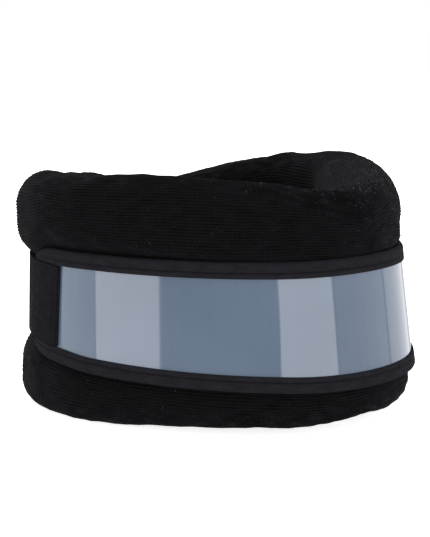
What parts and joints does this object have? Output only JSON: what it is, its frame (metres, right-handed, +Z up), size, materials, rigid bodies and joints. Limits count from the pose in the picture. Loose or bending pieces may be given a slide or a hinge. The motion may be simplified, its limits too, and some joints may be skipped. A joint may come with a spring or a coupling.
{
  "type": "cervical collar",
  "caption": "Soft padded neck collar in a ribbed knit sleeve, with a clear stiffening plate in front, bound edges and a hook-and-loop strap that closes at the nape.",
  "frame": {"origin": "centre of the footprint, on the surface the collar stands on", "axes": "+Z up, -Y towards the chin, +X towards the wearer's left"},
  "size_m": [0.1716, 0.1982, 0.1086],
  "materials": {
    "foam": "matte",
    "knit": "matte",
    "plate": "gloss",
    "binding": "matte",
    "strap": "satin",
    "thread": "satin",
    "hook": "matte",
    "loop": "matte"
  },
  "bodies": {
    "front": {"core_front": "foam", "cover_front": "knit", "support_plate": "plate", "upper_binding": "binding", "lower_binding": "binding", "upper_stitching": "thread", "lower_stitching": "thread", "right_strap_end": "strap", "right_box_stitch": "thread", "left_strap_end": "strap", "left_box_stitch": "thread"},
    "right_flap": {"core_right_flap": "foam", "cover_right_flap": "knit", "hook_strap": "strap", "right_end_seam": "thread"},
    "strap_tail": {"hook_strap_tail": "strap", "hook_patch": "hook", "hook_patch_stitch": "thread"},
    "left_flap": {"core_left_flap": "foam", "cover_left_flap": "knit", "loop_strap": "strap", "loop_patch": "loop", "loop_patch_stitch": "thread", "left_end_seam": "thread"}
  },
  "joints": [
    {"name": "right_flap_open", "type": "hinge", "parent": "front", "child": "right_flap", "pos_m": [-0.07948, 0.04409, 0.05], "axis": [0, 0, 1], "range_deg": [0, 60]},
    {"name": "left_flap_open", "type": "hinge", "parent": "front", "child": "left_flap", "pos_m": [0.07948, 0.04409, 0.05], "axis": [0, 0, -1], "range_deg": [0, 60]},
    {"name": "tail_peel", "type": "hinge", "parent": "right_flap", "child": "strap_tail", "pos_m": [0, 0.0947, 0.0498], "axis": [0, 0, 1], "range_deg": [0, 120]}
  ],
  "couplings": [
    {"joint": "left_flap_open", "follows": "right_flap_open", "ratio": 1}
  ]
}
